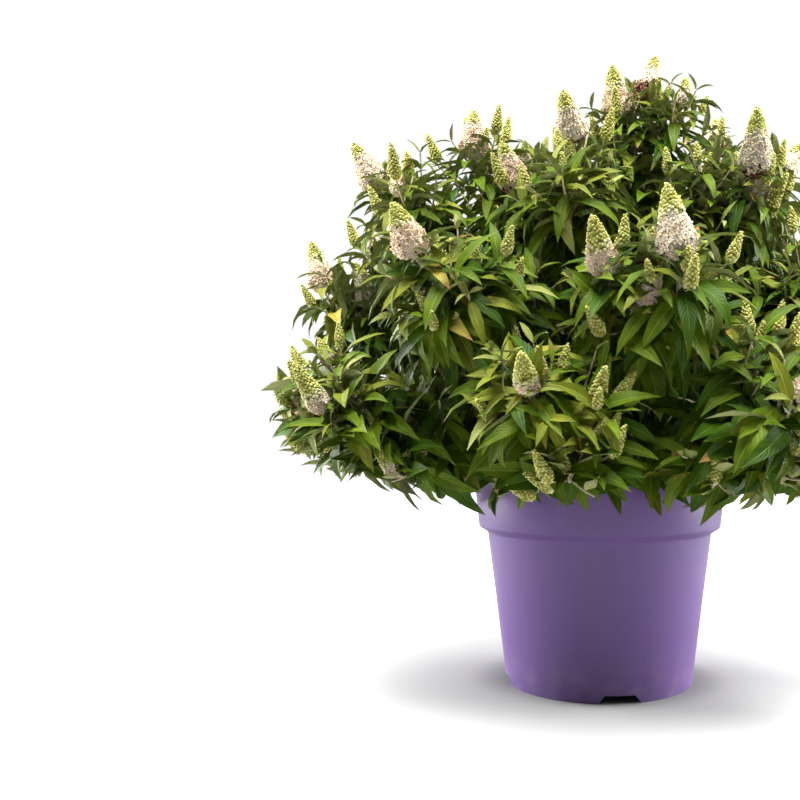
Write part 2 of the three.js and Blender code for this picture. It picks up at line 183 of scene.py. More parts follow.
def add_piece(name, mesh, finishes, slot=None, stands_for=(), crease=35):
    """Puts a finished mesh on the plant, in place of the solids that it stands for."""
    for finish in finishes:
        mesh.materials.append(finish.material)
    mesh.shade_smooth()
    mesh.set_sharp_from_angle(angle=math.radians(crease))
    piece = new_object(name, mesh)
    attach(piece, "root")
    if stands_for:
        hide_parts(*stands_for)


def mesh_from(name, bm):
    """A mesh in metres from a bmesh in millimetres."""
    bmesh.ops.scale(bm, vec=(mm, mm, mm), verts=bm.verts)
    mesh = bpy.data.meshes.new(name)
    bm.to_mesh(mesh)
    bm.free()
    return mesh


def turned(profile, sides, rounding):
    """A profile of (radius, height) pairs turned round the upright. rounding gives corners'
    numbers with how far from the corner its round starts."""
    bm = bmesh.new()
    corners = [bm.verts.new((radius, 0, height)) for radius, height in profile]
    for pair in zip(corners, corners[1:]):
        bm.edges.new(pair)
    for numbers, offset in rounding:
        bmesh.ops.bevel(
            bm, geom=[corners[k] for k in numbers], offset=offset, offset_type="OFFSET",
            affect="VERTICES", segments=3, profile=0.5, material=-1,
        )
    bmesh.ops.spin(
        bm, geom=bm.verts[:] + bm.edges[:], cent=(0, 0, 0), axis=(0, 0, 1),
        angle=math.tau, steps=sides, use_merge=True,
    )
    bmesh.ops.remove_doubles(bm, verts=bm.verts, dist=0.01)
    bmesh.ops.recalc_face_normals(bm, faces=bm.faces)
    return bm


def cut_away(name, body, cutters):
    """The mesh of a body with the cutters taken out of it."""
    objects = [new_object(name, mesh_from(name, bm)) for bm in (body, cutters)]
    cut = objects[0].modifiers.new("cut", "BOOLEAN")
    cut.object = objects[1]
    cut.solver = "EXACT"
    shown = objects[0].evaluated_get(bpy.context.evaluated_depsgraph_get())
    mesh = bpy.data.meshes.new_from_object(shown)
    for item in objects:
        bpy.data.objects.remove(item)
    return mesh


ramp_radius = middle_radius + ramp_width
skirt_radius = foot_radius - skirt_thickness
floor_top = floor_lift + floor_thickness
pot_body = turned(
    [
        (0, 0), (middle_radius, 0), (ramp_radius, floor_lift), (skirt_radius, floor_lift),
        (skirt_radius, 0), (foot_radius, 0), (body_top_radius, body_top_height),
        (rim_foot_radius, rim_foot_height), (rim_radius, pot_height),
        (rim_radius - wall, pot_height), (rim_foot_radius - wall, rim_foot_height + wall),
        (body_top_radius - wall, body_top_height + wall), (foot_radius - wall, floor_top),
        (ramp_radius + floor_thickness, floor_top),
        (middle_radius + floor_thickness, floor_thickness), (0, floor_thickness),
    ],
    pot_sides,
    [((4, 5), 0.5), ((8, 9), 0.9), ((1, 2, 3, 6, 7, 10, 11, 12, 13, 14), 1.5)],
)
pot_cutters = bmesh.new()
for k in range(notch_count):
    notch = bmesh.ops.create_cube(pot_cutters, size=1)["verts"]
    for corner in notch:
        below = corner.co.z < 0
        width = 2 * notch_bottom_width - notch_top_width if below else notch_top_width
        corner.co.x *= width
        corner.co.y = corner.co.y * 4 * skirt_thickness - foot_radius
        corner.co.z = -notch_height if below else notch_height
    turn = Quaternion((0, 0, 1), math.radians(notch_angle + 90 + k * 360 / notch_count))
    bmesh.ops.rotate(pot_cutters, verts=notch, matrix=turn.to_matrix())
for k in range(drain_count):
    drain = bmesh.ops.create_cone(
        pot_cutters, cap_ends=True, segments=20, radius1=drain_radius, radius2=drain_radius,
        depth=3 * floor_thickness,
    )["verts"]
    place = Quaternion((0, 0, 1), (k + 0.5) * math.tau / drain_count) @ Vector((drain_circle, 0, 0))
    place.z = floor_lift + floor_thickness / 2
    bmesh.ops.translate(pot_cutters, verts=drain, vec=place)

lilac = start_finish("satin_lilac_plastic", Roughness=0.4, Specular_IOR_Level=0.36)
lilac_clouds = lilac.grain(9, 3)
lilac_dust = lilac.axis("Z").rise(0.05, 0.0) * lilac.grain(60, 4).rise(0.35, 0.75)
lilac_clean = lilac_clouds.mix(paint(103, 79, 134), paint(111, 85, 142))
(lilac_dust * 0.35).mix(lilac_clean, paint(146, 124, 150)).feed("Base Color")
lilac_rubs = lilac.stretched(1, 1, 0.08).grain(220, 4)
(0.34 + 0.1 * lilac_rubs + 0.08 * lilac_clouds + 0.2 * lilac_dust).feed("Roughness")
(lilac.grain(900, 1) + 1.5 * lilac.stretched(1, 1, 0.2).grain(25)).feed_relief(0.06)
add_piece("pot_shell", cut_away("pot_shell", pot_body, pot_cutters), [lilac], "pot_plastic", ["pot"])

# ---- compost ----
# Dark peat and bark compost fills the pot to 25 mm below the rim. Its top is uneven, with loose
# crumbs and chips of bark lying on it.

clearance = 0.3
compost_top = 160
compost_edge_top = 157
crumb_count = 700
crumb_level = 158.6


class Shape:
    """A small shape that is repeated: its corners, and the corner numbers of its faces."""

    def __init__(self, bm):
        bm.verts.index_update()
        faces = [[corner.index for corner in face.verts] for face in bm.faces]
        self.corners = np.array([corner.co for corner in bm.verts])
        self.sizes = np.array([len(face) for face in faces])
        self.loops = np.concatenate(faces)
        self.middles = np.array([self.corners[face].mean(0) for face in faces])
        bm.free()


def add_copies(name, finishes, shape, places, finish_numbers=0, flat_places=None, **how):
    """Many copies as one piece. places has each copy's corners, and finish_numbers its faces'
    finishes. flat_places are the corners' places on the copy's own flat map."""
    copies, corners = places.shape[:2]
    sizes = np.tile(shape.sizes, copies)
    loops = (shape.loops + corners * np.arange(copies)[:, None]).ravel()
    mesh = bpy.data.meshes.new(name)
    mesh.vertices.add(copies * corners)
    mesh.vertices.foreach_set("co", (places * mm).astype(np.float32).ravel())
    mesh.loops.add(len(loops))
    mesh.loops.foreach_set("vertex_index", loops.astype(np.int32))
    mesh.polygons.add(len(sizes))
    mesh.polygons.foreach_set("loop_start", (np.cumsum(sizes) - sizes).astype(np.int32))
    numbers = np.broadcast_to(finish_numbers, (copies, len(shape.sizes)))
    mesh.polygons.foreach_set("material_index", numbers.astype(np.int32).ravel())
    if flat_places is not None:
        flat = np.tile(flat_places[shape.loops], (copies, 1))
        mesh.uv_layers.new(name="blade").uv.foreach_set("vector", flat.astype(np.float32).ravel())
    mesh.update(calc_edges=True)
    mesh.validate()
    add_piece(name, mesh, finishes, **how)


def unit(vectors):
    """Vectors made one long, along the last axis of an array."""
    return vectors / np.linalg.norm(vectors, axis=-1, keepdims=True)


inner = wall + clearance
rim_slope = (rim_radius - rim_foot_radius) / (pot_height - rim_foot_height)
compost_edge = rim_foot_radius - inner + rim_slope * (compost_edge_top - rim_foot_height - wall)
compost_rings = [
    (radius, compost_top - (compost_top - compost_edge_top) * radius / compost_edge)
    for radius in np.linspace(compost_edge, 0, 30)
]
compost_body = turned(
    [
        (0, floor_thickness + clearance),
        (middle_radius + floor_thickness - clearance, floor_thickness + clearance),
        (ramp_radius + floor_thickness - clearance, floor_top + clearance),
        (foot_radius - inner, floor_top + clearance),
        (body_top_radius - inner, body_top_height + wall),
        (rim_foot_radius - inner, rim_foot_height + wall + clearance),
        *compost_rings,
    ],
    72,
    [],
)
for corner in compost_body.verts:
    if corner.co.z > compost_edge_top - 0.5 and corner.co.xy.length < compost_edge - 1:
        corner.co.z += 1.1 * noise.fractal(corner.co * 0.12, 0.8, 2.0, 4) - 0.6

compost = start_finish("peat_and_bark_compost", Roughness=0.95)
compost_lumps = compost.grain(350, 6)
compost_lumps.rise(0.3, 0.7).mix(paint(38, 27, 20), paint(86, 64, 46)).feed("Base Color")
(compost_lumps + 0.4 * compost.grain(1500, 3)).feed_relief(1.2)
add_piece("compost_bed", mesh_from("compost_bed", compost_body), [compost], "compost", ["compost"])

crumb_chance = np.random.default_rng(11)
crumb = bmesh.new()
bmesh.ops.create_icosphere(crumb, subdivisions=1, radius=1)
crumb = Shape(crumb)
crumb_far = np.sqrt(crumb_chance.uniform(0.03, 0.97, crumb_count)) * (compost_edge - 4)
crumb_turn = crumb_chance.uniform(0, math.tau, crumb_count)
crumb_middle = crumb_far[:, None] * np.stack([np.cos(crumb_turn), np.sin(crumb_turn), 0 * crumb_turn], 1)
crumb_middle[:, 2] = crumb_level
crumb_size = crumb_chance.gamma(3, 0.5, (crumb_count, 1, 1)) * crumb_chance.uniform(
    (0.7, 0.4, 0.2), (1.4, 1.0, 0.7), (crumb_count, 1, 3)
)
crumb_jitter = crumb_chance.uniform(0.7, 1.15, (crumb_count, len(crumb.corners), 1))
crumb_side = np.stack([np.cos(crumb_turn * 7), np.sin(crumb_turn * 7), 0 * crumb_turn], 1)
crumb_frame = np.stack([crumb_side, np.cross([0, 0, 1.0], crumb_side), 0 * crumb_side + [0, 0, 1]], 1)
crumb_places = crumb_middle[:, None] + (crumb.corners * crumb_size * crumb_jitter) @ crumb_frame
bark_chip = start_finish("bark_chips", Roughness=0.9)
bark_chip.grain(500, 4).mix(paint(58, 40, 28), paint(122, 92, 66)).feed("Base Color")
bark_chip.stretched(1, 0.2, 1).grain(1200, 3).feed_relief(0.5)
is_bark = crumb_chance.random((crumb_count, 1)) < 0.3
add_copies("compost_crumbs", [compost, bark_chip], crumb, crumb_places, is_bark, slot="compost")

# ---- main stem, boughs and branches ----
# Woody grey-tan limbs with bark that splits lengthways. A short stem flares where it leaves the
# compost and forks into six boughs, and branches run from their tips to the masses of foliage.

stem_fork_height = 206
stem_lean = 4
stem_flare_radius = 17
stem_foot_radius = 10.5
stem_top_radius = 8.5
flare_length = 12
crown_centre = Vector((0, 0, 240))
side_bough_count = 5
first_bough_azimuth = -108
side_bough_span = 50
top_bough_span = 44
bough_foot_radius = 5.6
bough_tip_radius = 4.2
branch_foot_radius = 3.6
branch_tip_radius = 2.8
limb_zone = 104
upward = Vector((0, 0, 1))
# Each tier of masses: azimuth, elevation and reach of the leading flower head, how much of that
# head is open and how much of it is spent. Azimuth 0 is the plant's right, -90 its front.
tiers = {
    "top": (3, [(0, 81, 340, 0.68, 0.32)]),
    "upper": (2, [
        (-102, 62, 288, 0.68, 0.06), (-52, 50, 298, 0.65, 0.1), (-6, 53, 306, 0.6, 0),
        (38, 64, 344, 0.7, 0.25), (95, 54, 316, 0.65, 0.1), (160, 65, 334, 0.66, 0),
        (-163, 47, 330, 0.7, 0),
    ]),
    "middle": (3, [
        (-80, 30, 290, 0.62, 0), (-36, 27, 302, 0.55, 0), (8, 28, 316, 0.62, 0.1),
        (50, 31, 304, 0.6, 0), (93, 27, 300, 0.4, 0), (134, 31, 304, 0.6, 0),
        (176, 32, 332, 0.6, 0), (-123, 29, 300, 0.6, 0),
    ]),
    "lower": (3, [
        (-100, 7, 280, 0.32, 0), (-60, 7, 290, 0.4, 0), (-19, 6, 304, 0.45, 0), (21, 8, 302, 0.3, 0),
        (61, 7, 292, 0, 0), (101, 7, 286, 0.4, 0), (141, 8, 294, 0, 0), (-178, 8, 308, 0.3, 0),
        (-139, 7, 298, 0.35, 0),
    ]),
}


def direction(azimuth, elevation):
    """A unit vector from its two angles in degrees."""
    flat = math.cos(math.radians(elevation))
    return Vector((
        flat * math.cos(math.radians(azimuth)),
        flat * math.sin(math.radians(azimuth)),
        math.sin(math.radians(elevation)),
    ))


def along_curve(handles, t):
    """The place and direction at t on a Bezier curve with three or four handles."""
    points = [Vector(handle) for handle in handles]
    while len(points) > 2:
        points = [a.lerp(b, t) for a, b in zip(points, points[1:])]
    return points[0].lerp(points[1], t), (points[1] - points[0]).normalized()


def curve_length(handles, steps=12):
    points = [along_curve(handles, k / steps)[0] for k in range(steps + 1)]
    return sum((b - a).length for a, b in zip(points, points[1:]))


def round_limbs(limbs, sides, steps, relief=None):
    """The corners of tapering round limbs, and the shape that they repeat. A limb is its handles
    and its radius as a function of the share run. relief(place, turn) gives bark's height."""
    sleeve = bmesh.new()
    bmesh.ops.create_cone(
        sleeve, cap_ends=True, segments=sides, radius1=1, radius2=1, depth=steps
    )
    uprights = [e for e in sleeve.edges if abs(e.verts[0].co.z - e.verts[1].co.z) > 0.5]
    bmesh.ops.subdivide_edges(sleeve, edges=uprights, cuts=steps - 1, use_grid_fill=True)
    sleeve = Shape(sleeve)
    rings = np.rint(sleeve.corners[:, 2] + steps / 2).astype(int)
    shares = [k / steps for k in range(steps + 1)]
    spots = [[along_curve(handles, t) for t in shares] for handles, _ in limbs]
    centres = np.array([[spot[0][:] for spot in limb] for limb in spots])
    tangents = np.array([[spot[1][:] for spot in limb] for limb in spots])
    radii = np.array([[radius_at(t) for t in shares] for _, radius_at in limbs])
    side = np.where(np.abs(tangents[:, 0, 2:]) > 0.7, [1.0, 0, 0], [0, 0, 1.0])
    sideways = np.empty_like(tangents)
    for k in range(steps + 1):
        side = unit(side - tangents[:, k] * (side * tangents[:, k]).sum(1, keepdims=True))
        sideways[:, k] = side
    other = np.cross(tangents, sideways)
    across = (
        sleeve.corners[:, :1] * sideways[:, rings] + sleeve.corners[:, 1:2] * other[:, rings]
    )
    places = centres[:, rings] + across * radii[:, rings, None]
    if relief:
        turns = np.arctan2(sleeve.corners[:, 1], sleeve.corners[:, 0])
        for limb in range(len(limbs)):
            for corner in range(len(rings)):
                height = relief(Vector(places[limb, corner]), turns[corner])
                places[limb, corner] += across[limb, corner] * radii[limb, rings[corner]] * height
    return sleeve, places


def bark_relief(place, turn):
    """Long splits and low knots, as a share of the limb's radius."""
    splits = noise.noise(Vector((math.cos(turn) * 2.2, math.sin(turn) * 2.2, place.length * 0.05)))
    flakes = noise.noise(place * 0.45)
    return 0.1 * splits + 0.06 * flakes - 0.07 * max(0, 0.12 - abs(splits)) / 0.12


def from_centre(way, distance):
    return crown_centre + way * distance


def tapered(from_radius, to_radius):
    return lambda t: from_radius + (to_radius - from_radius) * t


masses = [
    {
        "tier": tier, "way": direction(azimuth, elevation), "reach": reach, "open": opened,
        "spent": spent, "side_shoots": side_shoots,
        "name": f"{tier}_{k + 1}" if len(leaders) > 1 else tier,
    }
    for tier, (side_shoots, leaders) in tiers.items()
    for k, (azimuth, elevation, reach, opened, spent) in enumerate(leaders)
]
stem_foot = Vector((0, 0, compost_top + clearance))
stem_fork = Vector((stem_lean, stem_lean / 2, stem_fork_height))
stem_handles = [stem_foot, Vector((0, 0, (stem_foot.z + stem_fork.z) / 2)), stem_fork]
stem_length = stem_fork.z - stem_foot.z


def stem_radius(t):
    flare = (stem_flare_radius - stem_foot_radius) * math.exp(-t * stem_length / flare_length)
    return tapered(stem_foot_radius, stem_top_radius)(t) + flare


boughs = {}
for k in range(-1, side_bough_count):
    way = direction(first_bough_azimuth + k * 360 / side_bough_count, 0)
    span = side_bough_span
    if k < 0:
        way, span = direction(0, 88), top_bough_span
    tip = from_centre(way, span)
    foot = stem_fork - upward * bough_foot_radius
    bend = (foot + tip) / 2 + upward * span * 0.1 * (1 - way.z)
    boughs["bough_top" if k < 0 else f"bough_{k + 1}"] = (way, [foot, bend, tip])


def nearest_bough(mass):
    """The handles of the bough that runs closest to a mass's own direction."""
    return max(boughs.values(), key=lambda bough: bough[0].dot(mass["way"]))[1]


branches = {}
for mass in masses:
    mass["branch"] = branches["branch_" + mass["name"]] = [
        along_curve(nearest_bough(mass), 0.94)[0],
        from_centre(mass["way"], limb_zone * 0.72),
        from_centre(mass["way"], limb_zone + 2),
    ]

bark = start_finish("split_tan_bark", Roughness=0.9)
bark_fibres = bark.stretched(1, 1, 0.25).grain(420, 6)
bark_patches = bark.grain(90, 3).rise(0.35, 0.65)
bark_dry = bark_fibres.mix(paint(92, 76, 56), paint(168, 148, 118))
(bark_patches * 0.5).mix(bark_dry, paint(120, 110, 84)).feed("Base Color")
(bark_fibres + 0.5 * bark.grain(1600)).feed_relief(0.7)
bough_limbs = [(handles, tapered(bough_foot_radius, bough_tip_radius)) for _, handles in boughs.values()]
branch_limbs = [(handles, tapered(branch_foot_radius, branch_tip_radius)) for handles in branches.values()]
for name, limbs, sides, steps, nodes in [
    ("main_stem_bark", [(stem_handles, stem_radius)], 40, 40, ["main_stem"]),
    ("boughs_bark", bough_limbs, 20, 36, list(boughs)),
    ("branches_bark", branch_limbs, 12, 22, list(branches)),
]:
    barked = round_limbs(limbs, sides, steps, bark_relief)
    add_copies(name, [bark], *barked, slot="bark", stands_for=nodes, crease=50)

# ---- shoots ----
# Young felted shoots, beige over green. Each mass has one leading shoot that carries side shoots
# round it, and finer shoots stand in the joints of their leaves. Most end in a flower head.

seed = 7
head_places = 40
widest_spread = 24
least_reach = 0.82
most_reach = 0.94
wall_weight = 1.6
lowest_shoot_rise = -0.1
golden_angle = 137.508
shoot_steps = 2
shoot_bend = 0.36
first_fork = 0.14
fork_spacing = 0.17
fork_lean = 0.2
large_head = (54, 11)
small_head = (36, 7)
head_outward = 0.6
head_upward = 0.75
lowest_leaf = 138
skirt_rise = 0.38
rim_clear_radius = 118.5
rim_clear_height = 189
# How low a tier lies, from 0 to 1. Leaves grow larger and hang more towards the foot of the plant.
tier_lowness = {"top": 0, "upper": 0.15, "middle": 0.6, "lower": 1}
# By pair, counted from the tip down: leaves' lengths, how far they lean forward, their tints, and
# how often a finer shoot stands in their joint.
leaf_lengths = (24, 38, 50, 60, 66, 70, 72)
leaf_leans = (0.7, 0.6, 0.5, 0.42, 0.35)
leaf_tints = (0.32, 0.22, 0.1, 0)
finer_shoot_shares = (0.3, 0.75, 0.85, 0.85, 0.8, 0.7, 0.6)
finer_leaf_lengths = (17, 31, 42, 50, 54, 56)
finer_leaf_leans = (1.5, 0.9, 0.6, 0.5, 0.4)
finer_leaf_tints = (0.35, 0.2, 0)
# Sprigs that hang over the rim, as degrees off their branch and the share along it where they start.
rim_sprigs = ((-14, 0.75), (13, 0.9))
sprig_leaf_shares = (0.97, 0.86, 0.72, 0.58, 0.44, 0.3)
sprig_leaf_lengths = (36, 52, 60, 64, 66, 66)


def nth(values, k):
    """The value of a row at k, or its last one beyond the end."""
    return values[min(k, len(values) - 1)]


class Chance:
    """The solids' own run of chance numbers, so that the finer plant grows like them."""

    def __init__(self, start):
        self.state = start
        self.share()

    def share(self):
        whole = 0xFFFFFFFF
        self.state = t = (self.state + 0x6D2B79F5) & whole
        t = ((t ^ (t >> 15)) * (t | 1)) & whole
        t ^= (t + (((t ^ (t >> 7)) * (t | 61)) & whole)) & whole
        return ((t ^ (t >> 14)) & whole) / (whole + 1)

    def between(self, low, high):
        return low + (high - low) * self.share()


def wall_distance(point, mass):
    """How far a place lies inside the nearest wall of a mass's own space."""
    offset = point - crown_centre
    return min(
        offset.dot((mass["way"] - other["way"]).normalized())
        for other in masses if other is not mass
    )


def tilted_from(way, turn, spread):
    """A direction that lies spread degrees off another, turn degrees round it."""
    side = Vector((1, 0, 0)) if abs(way.z) > 0.9 else upward
    across = way.cross(side).normalized()
    return Quaternion(way, math.radians(turn)) @ (Quaternion(across, math.radians(spread)) @ way)


def plan_shoot(start, growth, way, reach, head):
    """A shoot and the head at its end, whose axis leans between straight out and straight up."""
    axis = (way * head_outward + upward * head_upward).normalized()
    tip = from_centre(way, reach)
    base = tip - axis * head[0]
    pull = (base - start).length * shoot_bend
    handles = [start, start + growth * pull, base - axis * pull, base]
    return {"handles": handles, "axis": axis, "tip": tip, "head": head}


def place_on(shoot, t):
    """A place on the straight runs between a shoot's rings, as in the solids."""
    ring = min(int(t * shoot_steps), shoot_steps - 1)
    ends = [along_curve(shoot["handles"], (ring + k) / shoot_steps)[0] for k in (0, 1)]
    return ends[0].lerp(ends[1], t * shoot_steps - ring)


def plan_mass(mass, chance):
    """One leading shoot, then side shoots, each with its head in the roomiest place left."""
    way = mass["way"]
    leader = plan_shoot(from_centre(way, limb_zone + clearance), way, way, mass["reach"], large_head)
    shoots = [leader]
    first_turn = 360 * chance.share()
    places = []
    for k in range(head_places):
        spread = widest_spread * math.sqrt((k + 0.5) / head_places)
        off = tilted_from(way, first_turn + k * golden_angle, spread)
        off.z = max(off.z, lowest_shoot_rise)
        reach = mass["reach"] * chance.between(least_reach, most_reach)
        places.append(from_centre(off.normalized(), reach))
    while len(shoots) <= mass["side_shoots"]:
        tip = max(places, key=lambda place: min(
            *[(shoot["tip"] - place).length for shoot in shoots],
            wall_weight * wall_distance(place, mass),
        ))
        along = first_fork + fork_spacing * len(shoots)
        start = place_on(leader, along)
        leader_way = along_curve(leader["handles"], along)[1]
        growth = ((tip - start).normalized() + leader_way * fork_lean).normalized()
        out = tip - crown_centre
        head = small_head if len(shoots) % 2 else large_head
        shoots.append(plan_shoot(start, growth, out.normalized(), out.length, head))
    return shoots


def has_room(point, mass):
    """Whether a place is within the crown's reach, above its skirt and clear of the pot."""
    out_from_pot = point.xy.length - rim_clear_radius
    return (
        (point - crown_centre).length <= mass["leaf_reach"] - 8
        and point.z >= lowest_leaf + skirt_rise * out_from_pot
        and not (point.z < rim_clear_height and out_from_pot < 0)
    )


def round_about(way, turn):
    """A direction square to another, turn degrees round it."""
    side = Vector((1, 0, 0)) if abs(way.z) > 0.7 else upward
    sideways = side.cross(way).normalized()
    return Quaternion(way, math.radians(turn)) @ sideways


# Leaves and heads are written down here as the shoots grow, and made in the sections below.
# A leaf's note: foot, way and upper side (numbers 0 to 8), then length, width, arch, twist, number
# of its mass, colour and a chance number. A head's note: foot and axis, then length, radius, how
# much is open, how much is spent and a chance number.
leaf_notes = {"broad": [], "narrow": []}
head_notes = []
shoot_limbs = []
finer_limbs = []


def note_leaf(kind, mass, spot, outward, way, lean, droop, length, look, chance):
    """Writes a leaf down. It grows outward from its shoot, leans along it and droops. Its look is
    its width as a share of its length, its arch and its tint."""
    width, arch, tint = look
    along = (outward + way * lean - upward * droop).normalized()
    out = (spot - crown_centre).normalized()
    facing = way * 0.5 + upward * 0.55 + out * 0.35
    lift = (facing - along * facing.dot(along)).normalized()
    leaf_notes[kind].append((
        *spot, *along, *lift, length, width * chance.between(0.88, 1.12),
        arch * chance.between(0.6, 1.4), chance.between(-0.5, 0.5),
        mass["number"], tint, chance.share(),
    ))


def note_young_head(foot, axis, length, chance):
    head_notes.append((*foot, *axis, length, 0.8 + length * 0.15, 0, 0, chance.share()))


def grow_finer(mass, spot, way, outward, level, chance, colour):
    """A finer shoot in a leaf's joint, with small leaves in pairs and a tuft or a young head."""
    length = (17 + 7.5 * min(level, 6)) * chance.between(0.7, 1.2)
    rise = (outward * 0.8 + way * 0.8 + upward * 0.15).normalized()
    for size in (1, 0.65):
        bend = spot + rise * length * size * 0.5
        tip = spot + rise * length * size + upward * length * size * 0.2
        if has_room(tip + (tip - bend).normalized() * 9, mass):
            break
    else:
        return
    handles = [spot, bend, tip]
    finer_limbs.append((handles, tapered(1.0, 0.65)))
    axis = along_curve(handles, 1)[1]
    headed = level < 5 and chance.share() < 0.42
    if headed:
        size = chance.between(14, 27)
        note_young_head(tip, (axis * 0.5 + upward * 0.5).normalized(), size, chance)
    pairs = max(1, round(curve_length(handles) / 12.5))
    first_turn = 90 * chance.share()
    for pair in range(headed, pairs + 1):
        t = max(0.15, 1 - pair / (pairs + 0.5))
        place, along = along_curve(handles, t)
        leaf = nth(finer_leaf_lengths, pair) * chance.between(0.8, 1.15) * mass["finer_size"]
        lean = nth(finer_leaf_leans, pair)
        tint = nth(finer_leaf_tints, pair) + 0.7 * colour
        look = (0.23, 0.8 + 0.15 * pair, tint)
        for half in (0, 180):
            side = round_about(along, first_turn + 90 * pair + half)
            droop = chance.between(0, 0.3)
            note_leaf("narrow", mass, place, side, along, lean, droop, leaf, look, chance)


for number, mass in enumerate(masses):
    mass["number"] = number
    chance = Chance(seed * 100 + number)
    low = tier_lowness[mass["tier"]]
    mass["leaf_reach"] = mass["reach"] + 8 - 30 * (1 - low)
    mass["finer_size"] = 1 + 0.22 * low
    for place_in_mass, shoot in enumerate(plan_mass(mass, chance)):
        handles, axis = shoot["handles"], shoot["axis"]
        opened, spent = mass["open"], mass["spent"]
        if place_in_mass:
            likely = 1.8 if place_in_mass % 2 == 0 else 1.3
            opened = opened * chance.between(0.7, 1.15) if chance.share() < likely * opened else 0
            spent = chance.between(0.08, 0.3) if opened > 0.35 and chance.share() < 0.25 else 0
        head_length, head_radius = shoot["head"]
        head_length *= (0.6 + 0.5 * min(opened, 0.6)) * chance.between(0.8, 1.08)
        head_radius *= 0.5 + 1.5 * min(opened, 0.6) ** 1.5
        axis = (axis + Vector([chance.between(-0.3, 0.3) for _ in "xyz"])).normalized()
        base = shoot["tip"] - axis * head_length
        handles[2:] = [base - axis * (base - handles[0]).length * shoot_bend, base]
        odd = chance.share()
        head_notes.append((*handles[-1], *axis, head_length, head_radius, opened, spent, odd))
        shoot_foot_radius = branch_tip_radius if place_in_mass == 0 else 1.8
        shoot_limbs.append((handles, tapered(shoot_foot_radius, 1.1)))
        spray_colour = chance.share()
        runs = [handles]
        if low > 0.5 and place_in_mass == 0:
            runs += [mass["branch"], nearest_bough(mass)]
        below, gap, level = 2.0, 7.0, 0
        first_turn = 360 * chance.share()
        for run in runs:
            length = curve_length(run)
            while below < length * 0.93:
                spot, way = along_curve(run, 1 - below / length)
                for half in (0, 180):
                    turn = first_turn + 90 * level + half + chance.between(-14, 14)
                    outward = round_about(way, turn)
                    size = nth(leaf_lengths, level)
                    size *= (0.86 + 0.2 * low) * chance.between(0.85, 1.15)
                    width = 0.19 + 0.04 * low + 0.006 * min(level, 4)
                    tint = nth(leaf_tints, level) + 0.74 * spray_colour
                    look = (width, 1.15 - 0.45 * low, tint)
                    lean = nth(leaf_leans, level) + 0.3 * (opened == 0)
                    droop = (0.1 + 0.55 * low) * chance.between(0.4, 1.3) + 0.07 * min(level, 8)
                    note_leaf("broad", mass, spot, outward, way, lean, droop, size, look, chance)
                    likely = nth(finer_shoot_shares, level) - 0.12 * low
                    if opened and level < 2:
                        likely = 0.4 * level
                    if run is not handles:
                        likely = 0.25
                    if chance.share() < likely:
                        joint = spot + upward * 1.0
                        grow_finer(mass, joint, way, outward, level, chance, chance.share())
                gap = min(14.5, gap + 2.1)
                below += gap
                level += 1
            below = 6
    if mass["tier"] == "lower":
        for turn, foot_share in rim_sprigs:
            over_rim = direction(math.degrees(math.atan2(mass["way"].y, mass["way"].x)) + turn, 0)
            foot = along_curve(mass["branch"], foot_share)[0]
            bend = over_rim * chance.between(124, 134) + upward * (foot.z + 8)
            tip = over_rim * chance.between(132, 142) + upward * chance.between(174, 194)
            handles = [foot, bend, tip]
            finer_limbs.append((handles, tapered(1.4, 0.9)))
            axis = (over_rim * 0.35 + upward * 0.9).normalized()
            note_young_head(tip, axis, chance.between(14, 24), chance)
            for pair, share in enumerate(sprig_leaf_shares):
                spot, way = along_curve(handles, share)
                for half in (0, 180):
                    outward = round_about(way, 90 * pair + half + chance.between(-20, 20))
                    tint = 0.3 * (pair == 0) + 0.6 * chance.share()
                    look = (0.27, 0.6, tint)
                    size = sprig_leaf_lengths[pair] * chance.between(0.85, 1.1)
                    droop = chance.between(0.1, 0.7)
                    note_leaf("broad", mass, spot, outward, way, 0.4, droop, size, look, chance)

felt = start_finish("felted_young_shoot", Roughness=0.85, Sheen_Weight=0.4)
felt_streaks = felt.grain(300, 4)
felt_streaks.rise(0.25, 0.75).mix(paint(136, 126, 80), paint(200, 186, 148)).feed("Base Color")
felt.grain(2500).feed_relief(0.15)
foliage_nodes = ["foliage_" + mass["name"] for mass in masses]
strong = round_limbs(shoot_limbs, 7, 14)
add_copies("shoots", [felt], *strong, slot="bark", stands_for=foliage_nodes, crease=70)
add_copies("finer_shoots", [felt], *round_limbs(finer_limbs, 4, 3), slot="bark", crease=80)

# ---- leaves ----
# Lance-shaped leaves in pairs, dark and quilted above, pale and felted below. They arch over and
# hang, the broad old ones lowest. A few are yellowing, or have scorched tips.


def make_blade(rows, across):
    """A leaf's shape: x across, y along, z above 0 for its upper face and below for its under."""
    blade = bmesh.new()
    steps = len(rows) - 1
    for layer, columns in ((1, across), (-1, 2)):
        grid = bmesh.ops.create_grid(blade, x_segments=columns, y_segments=steps, size=1)["verts"]
        for corner in grid:
            row = round((corner.co.y + 1) / 2 * steps)
            ends = row in (0, steps)
            corner.co.y = rows[row]
            corner.co.z = 0 if ends or abs(corner.co.x) > 0.99 else layer
            if ends:
                corner.co.x = 0
        if layer < 0:
            faces = list({face for corner in grid for face in corner.link_faces})
            bmesh.ops.reverse_faces(blade, faces=faces)
    bmesh.ops.remove_doubles(blade, verts=blade.verts, dist=1e-4)
    return Shape(blade)


